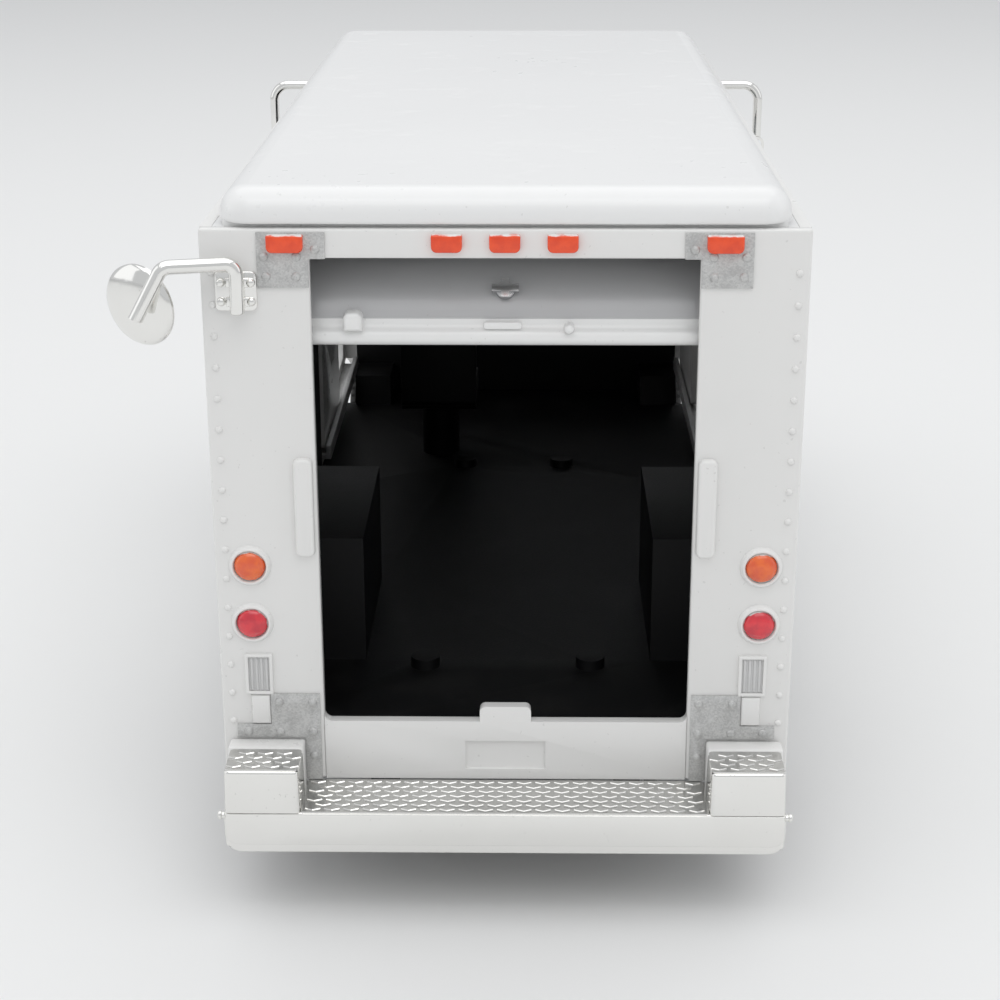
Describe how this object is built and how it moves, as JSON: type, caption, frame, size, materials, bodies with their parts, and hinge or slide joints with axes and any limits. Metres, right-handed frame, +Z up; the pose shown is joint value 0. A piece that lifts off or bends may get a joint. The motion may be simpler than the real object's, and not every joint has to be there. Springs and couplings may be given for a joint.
{
  "type": "walk-in delivery van scale model",
  "caption": "White walk-in delivery van model with an open roll-up rear door, sliding cab doors, chequer-plate rear step, round tail lamps and rolling wheels.",
  "frame": {"origin": "on the ground, centred under the whole van in x and y", "axes": "+Y to the front of the van, +X to its right-hand side, +Z up"},
  "size_m": [0.0996, 0.2036, 0.096],
  "materials": {
    "white_paint": "gloss",
    "white_plastic": "gloss",
    "silver_paint": "satin",
    "plated_plastic": "bright",
    "black_plastic": "satin",
    "steel": "bright",
    "orange_lens": "gloss",
    "amber_lens": "gloss",
    "red_lens": "gloss",
    "clear_plastic": "clear",
    "mirror_face": "mirror",
    "tyre_rubber": "matt"
  },
  "bodies": {
    "van": {"side_panel_left": "white_paint", "side_panel_right": "white_paint", "rear_frame": "white_paint", "rear_sill": "white_paint", "roof_cap": "white_paint", "cab_front": "white_paint", "nose_shell": "white_paint", "rear_rivets": "white_paint", "upper_corner_plates": "silver_paint", "lower_corner_plates": "silver_paint", "id_lamps": "orange_lens", "clearance_lamps": "orange_lens", "amber_tail_lamps": "amber_lens", "red_tail_lamps": "red_lens", "lamp_surrounds": "white_paint", "reverse_lamps": "silver_paint", "grab_rails": "white_paint", "rear_bumper": "plated_plastic", "tread_plates": "plated_plastic", "step_blocks": "plated_plastic", "step_pads": "white_paint", "rear_mirror_bracket": "plated_plastic", "rear_mirror_arm": "plated_plastic", "rear_mirror_head": "plated_plastic", "front_mirror_arms": "plated_plastic", "front_mirror_heads": "plated_plastic", "mirror_glasses": "mirror_face", "windscreen": "clear_plastic", "wipers": "black_plastic", "grille": "black_plastic", "headlamps": "clear_plastic", "headlamp_bezels": "plated_plastic", "front_amber_lamps": "amber_lens", "front_bumper": "plated_plastic", "chassis_plate": "black_plastic", "frame_rails": "black_plastic", "fuel_tank": "black_plastic", "exhaust": "silver_paint", "driveline": "black_plastic", "base_screws": "steel", "cargo_liner": "black_plastic", "dashboard": "black_plastic", "steering_wheel": "black_plastic", "driver_seat": "black_plastic", "cab_door_tracks": "silver_paint", "rear_door_tracks": "silver_paint", "rear_door_curtain": "white_plastic"},
    "rear_door": {"rear_door_bar": "white_plastic"},
    "rear_door_end": {"rear_door_top_bar": "white_plastic"},
    "rear_lock": {"rear_door_lock": "silver_paint"},
    "left_cab_door": {"cab_door_left": "white_paint", "cab_door_glass_left": "clear_plastic"},
    "right_cab_door": {"cab_door_right": "white_paint", "cab_door_glass_right": "clear_plastic"},
    "front_wheels": {"axle_front": "steel", "rims_front": "plated_plastic", "tyres_front": "tyre_rubber"},
    "rear_wheels": {"axle_rear": "steel", "rims_rear": "plated_plastic", "tyres_rear": "tyre_rubber"}
  },
  "joints": [
    {"name": "rear_door_slide", "type": "slide", "parent": "van", "child": "rear_door", "axis": [0, 0, -1], "range_m": [0, 0.0509], "deforming": ["rear_door_curtain"]},
    {"name": "rear_door_end_slide", "type": "slide", "parent": "van", "child": "rear_door_end", "axis": [0, -1, 0], "range_m": [0, 0.0509]},
    {"name": "rear_lock_turn", "type": "hinge", "parent": "rear_door", "child": "rear_lock", "pos_m": [0, -0.08843, 0.07993], "axis": [1, 0, 0], "range_deg": [0, 42.5]},
    {"name": "left_cab_door_slide", "type": "slide", "parent": "van", "child": "left_cab_door", "axis": [0, 1, 0], "range_m": [0, 0.028]},
    {"name": "right_cab_door_slide", "type": "slide", "parent": "van", "child": "right_cab_door", "axis": [0, -1, 0], "range_m": [0, 0.028]},
    {"name": "front_axle_spin", "type": "hinge", "parent": "van", "child": "front_wheels", "pos_m": [0, 0.08075, 0.01275], "axis": [1, 0, 0], "continuous": true},
    {"name": "rear_axle_spin", "type": "hinge", "parent": "van", "child": "rear_wheels", "pos_m": [0, -0.04725, 0.01275], "axis": [1, 0, 0], "continuous": true}
  ],
  "couplings": [
    {"joint": "rear_door_end_slide", "follows": "rear_door_slide", "ratio": 1},
    {"joint": "rear_lock_turn", "follows": "rear_door_slide", "rad_per_m": 14.4}
  ]
}
